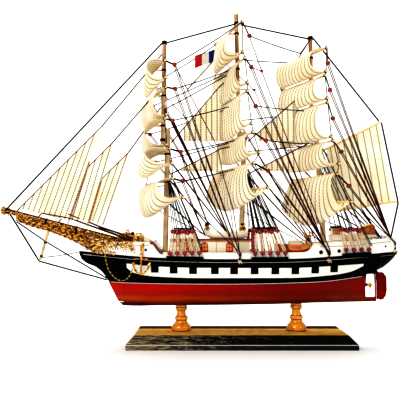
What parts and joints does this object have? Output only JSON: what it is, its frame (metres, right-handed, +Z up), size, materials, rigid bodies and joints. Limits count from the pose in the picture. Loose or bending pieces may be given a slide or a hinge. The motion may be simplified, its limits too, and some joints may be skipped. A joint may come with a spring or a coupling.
{
  "type": "tall ship display model",
  "caption": "Wooden display model of a full-rigged sailing ship with billowing cloth sails, painted hull, turning propeller and rudder, held on turned posts over a flat board.",
  "frame": {"origin": "centre of the display board's underside", "axes": "+X towards the stern, +Y towards starboard, +Z up"},
  "size_m": [0.5039, 0.1294, 0.4235],
  "materials": {
    "board_black": "black gloss paint",
    "post_varnish": "clear varnish",
    "red_paint": "red paint",
    "black_paint": "black paint",
    "white_paint": "white paint",
    "cream_paint": "cream paint",
    "roof_brown": "dark brown paint",
    "brown_wood": "brown stain",
    "deck_wood": "bare",
    "pale_wood": "bare",
    "sail_cloth": "stiffened cotton",
    "black_thread": "waxed thread",
    "brass": "gold lacquer",
    "flag_cloth": "printed"
  },
  "bodies": {
    "ship": {"anchor_port": "brass", "anchor_starboard": "brass", "bow_net": "brass", "bowsprit": "pale_wood", "bulwark": "white_paint", "companion": "cream_paint", "deck_boat_port": "brown_wood", "deck_boat_starboard": "brown_wood", "deckhouse": "cream_paint", "deckhouse_roof": "roof_brown", "decks": "deck_wood", "dolphin_striker": "pale_wood", "flag": "flag_cloth", "gun_band_port": "white_paint", "gun_band_starboard": "white_paint", "hull_bottom": "red_paint", "hull_topsides": "black_paint", "jib_inner": "sail_cloth", "jib_middle": "sail_cloth", "jib_outer": "sail_cloth", "long_boat_port": "cream_paint", "long_boat_starboard": "cream_paint", "mast_fore": "pale_wood", "mast_main": "pale_wood", "mast_mizzen": "pale_wood", "poop_house": "cream_paint", "sail_fore_1": "sail_cloth", "sail_fore_2": "sail_cloth", "sail_fore_3": "sail_cloth", "sail_fore_4": "sail_cloth", "sail_fore_5": "sail_cloth", "sail_main_1": "sail_cloth", "sail_main_2": "sail_cloth", "sail_main_3": "sail_cloth", "sail_main_4": "sail_cloth", "sail_main_5": "sail_cloth", "sail_mizzen_1": "sail_cloth", "sail_mizzen_2": "sail_cloth", "sail_mizzen_3": "sail_cloth", "sail_mizzen_4": "sail_cloth", "sail_mizzen_5": "sail_cloth", "spanker": "sail_cloth", "stand_board": "board_black", "stand_post_aft": "post_varnish", "stand_post_fore": "post_varnish", "stay_bow": "black_thread", "stay_bowsprit_fore": "black_thread", "stay_fore_main": "black_thread", "stay_main_mizzen": "black_thread", "stay_mizzen_gaff": "black_thread", "stay_stern": "black_thread", "staysail_lower_fore": "sail_cloth", "staysail_lower_main": "sail_cloth", "staysail_upper_fore": "sail_cloth", "staysail_upper_main": "sail_cloth", "wale_port": "black_paint", "wale_starboard": "black_paint", "windlass": "brass"},
    "propeller": {"propeller": "brass"},
    "rudder": {"rudder": "red_paint"}
  },
  "joints": [
    {"name": "propeller_spin", "type": "hinge", "parent": "ship", "child": "propeller", "pos_m": [0.1652, 0, 0.0736], "axis": [1, 0, 0], "continuous": true},
    {"name": "rudder_turn", "type": "hinge", "parent": "ship", "child": "rudder", "pos_m": [0.1749, 0, 0.072], "axis": [0, 0, 1], "range_deg": [-35, 35]}
  ]
}
